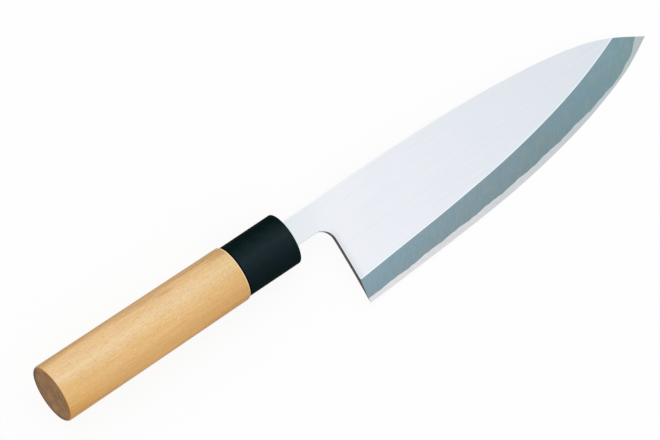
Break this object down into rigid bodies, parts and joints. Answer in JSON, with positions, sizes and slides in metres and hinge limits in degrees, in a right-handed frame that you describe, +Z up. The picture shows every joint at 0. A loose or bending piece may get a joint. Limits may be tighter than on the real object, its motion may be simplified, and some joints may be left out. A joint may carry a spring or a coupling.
{
  "type": "deba knife",
  "caption": "Japanese kitchen knife with a single-bevel laminated blade, a hollow back, a black ferrule and an oval wooden handle.",
  "frame": {"origin": "on the table under the middle of the knife's box, with the knife lying on its hollow back as it comes to rest, on its edge and on the ferrule's front rim", "axes": "+X along the table from the butt of the handle towards the tip, +Y from the cutting edge towards the spine, +Z up, away from the hollow back and towards the bevelled face"},
  "size_m": [0.3296, 0.0562, 0.0238],
  "materials": {
    "soft_steel": "flat brushed along the blade, bevel ground to a blue-grey haze",
    "hard_steel": "bright fine grind at the edge, brushed hollow back",
    "black_resin": "satin moulded black",
    "magnolia_wood": "plain sanded magnolia, straight grain along the handle",
    "sealing_resin": "dark poured resin"
  },
  "bodies": {
    "root": {"blade_cladding": "soft_steel", "edge_steel": "hard_steel", "ferrule": "black_resin", "handle": "magnolia_wood", "tang_seal": "sealing_resin"}
  },
  "joints": []
}
